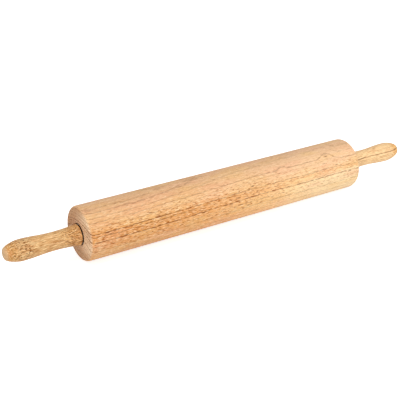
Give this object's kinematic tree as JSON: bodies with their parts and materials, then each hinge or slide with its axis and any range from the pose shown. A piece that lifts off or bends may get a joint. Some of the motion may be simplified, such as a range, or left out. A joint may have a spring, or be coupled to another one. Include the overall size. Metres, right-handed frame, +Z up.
{
  "type": "rolling pin",
  "caption": "Wooden rolling pin with a thick straight barrel that spins on ball bearings round a steel rod between turned handles.",
  "frame": {"origin": "centre of the barrel, on the rod's centreline", "axes": "+X along the rod from the left handle to the right handle, +Z up when it lies on a table"},
  "size_m": [0.6692, 0.0762, 0.0762],
  "materials": {
    "barrel_wood": "fine sanded, unvarnished",
    "handle_wood": "fine sanded, lightly oiled",
    "rod_steel": "drawn bar",
    "bearing_steel": "ground",
    "ball_steel": "polished",
    "cage_brass": "machined",
    "seal_rubber": "matt",
    "collar_steel": "turned",
    "insert_brass": "turned"
  },
  "bodies": {
    "handle_set": {"axle_rod": "rod_steel", "left_handle": "handle_wood", "left_threaded_insert": "insert_brass", "left_spacer_collar": "collar_steel", "left_bearing_inner_race": "bearing_steel", "right_handle": "handle_wood", "right_threaded_insert": "insert_brass", "right_spacer_collar": "collar_steel", "right_bearing_inner_race": "bearing_steel"},
    "barrel_set": {"barrel": "barrel_wood", "left_bearing_outer_race": "bearing_steel", "left_bearing_outer_seal": "seal_rubber", "left_bearing_inner_seal": "seal_rubber", "right_bearing_outer_race": "bearing_steel", "right_bearing_outer_seal": "seal_rubber", "right_bearing_inner_seal": "seal_rubber"},
    "left_cage_set": {"left_bearing_balls": "ball_steel", "left_bearing_cage": "cage_brass"},
    "right_cage_set": {"right_bearing_balls": "ball_steel", "right_bearing_cage": "cage_brass"}
  },
  "joints": [
    {"name": "barrel_spin", "type": "hinge", "parent": "handle_set", "child": "barrel_set", "pos_m": [0, 0, 0], "axis": [1, 0, 0], "continuous": true},
    {"name": "left_cage_orbit", "type": "hinge", "parent": "handle_set", "child": "left_cage_set", "pos_m": [-0.2206, 0, 0], "axis": [1, 0, 0], "continuous": true},
    {"name": "right_cage_orbit", "type": "hinge", "parent": "handle_set", "child": "right_cage_set", "pos_m": [0.2206, 0, 0], "axis": [1, 0, 0], "continuous": true}
  ],
  "couplings": [
    {"joint": "left_cage_orbit", "follows": "barrel_spin", "ratio": 0.61846},
    {"joint": "right_cage_orbit", "follows": "barrel_spin", "ratio": 0.61846}
  ]
}
